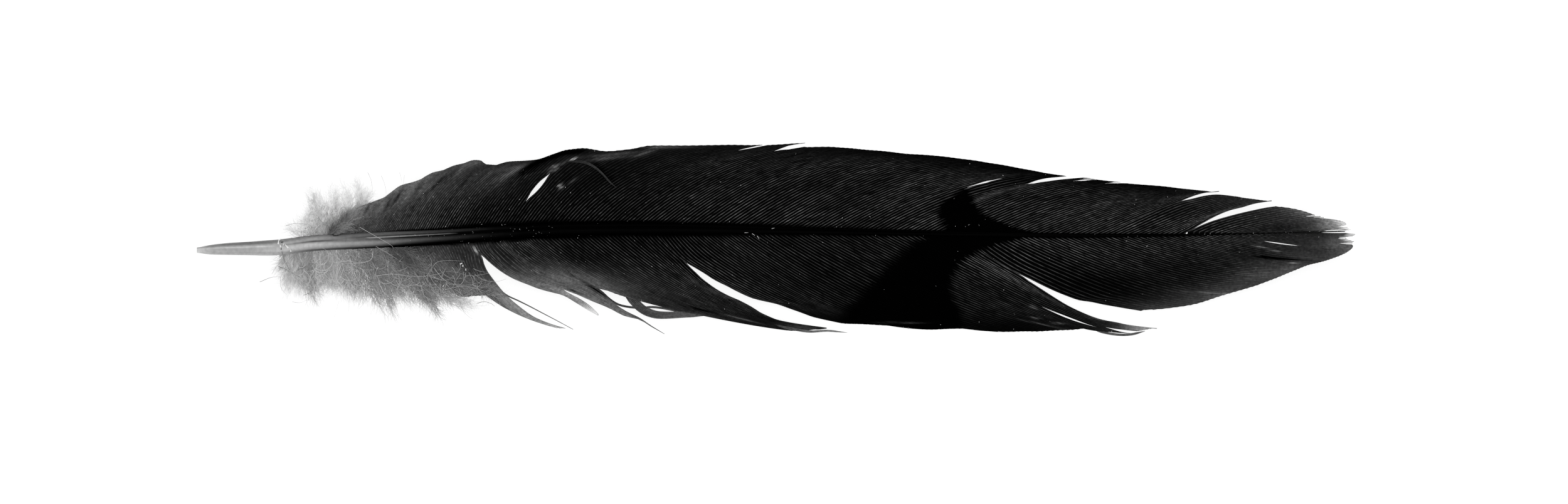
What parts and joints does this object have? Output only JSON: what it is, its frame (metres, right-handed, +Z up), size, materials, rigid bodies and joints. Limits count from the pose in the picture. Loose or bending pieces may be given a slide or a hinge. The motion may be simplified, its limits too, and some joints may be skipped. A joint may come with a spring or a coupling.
{
  "type": "turkey wing feather",
  "caption": "Nearly black turkey wing feather lying flat with its inner side up: pale quill, grooved shaft, two vanes with natural splits and loose down at their base.",
  "frame": {"origin": "on the surface that the feather lies on, under the middle of its outline", "axes": "+X from the quill's tip to the feather's tip, +Y across the feather to the vane with the whole edge, +Z up, away from the surface and out of the feather's inner side"},
  "size_m": [0.156, 0.026, 0.0057],
  "materials": {
    "vane": "matt, nearly black barbs with a faint sheen",
    "shaft": "smooth horn, pale at the quill and black further on",
    "down": "soft, matt grey fibres"
  },
  "bodies": {
    "root": {"feather": "vane"}
  },
  "joints": []
}
